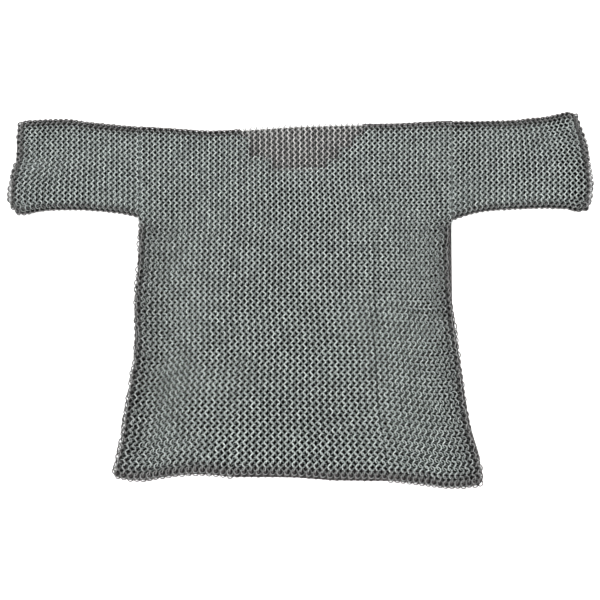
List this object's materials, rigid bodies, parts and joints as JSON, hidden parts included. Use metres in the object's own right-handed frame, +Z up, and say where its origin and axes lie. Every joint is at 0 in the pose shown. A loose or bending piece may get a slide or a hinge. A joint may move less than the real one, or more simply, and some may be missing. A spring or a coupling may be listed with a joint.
{
  "type": "chainmail hauberk",
  "caption": "Short-sleeved shirt of linked round steel rings with a stepped front neckline, laid flat on its back.",
  "frame": {"origin": "middle of the shirt's bounding rectangle, on the surface it lies on", "axes": "+X across the shirt from the wearer's right sleeve to the left, +Y towards the neck, +Z up through the front panel"},
  "size_m": [1.0856, 0.6988, 0.0173],
  "materials": {
    "mail_steel": "oiled, dull grey-green",
    "mail_steel_back": "oiled, dull warm grey"
  },
  "bodies": {
    "root": {"front_panel": "mail_steel", "back_panel": "mail_steel_back", "sleeve_right": "mail_steel", "sleeve_left": "mail_steel"}
  },
  "joints": []
}
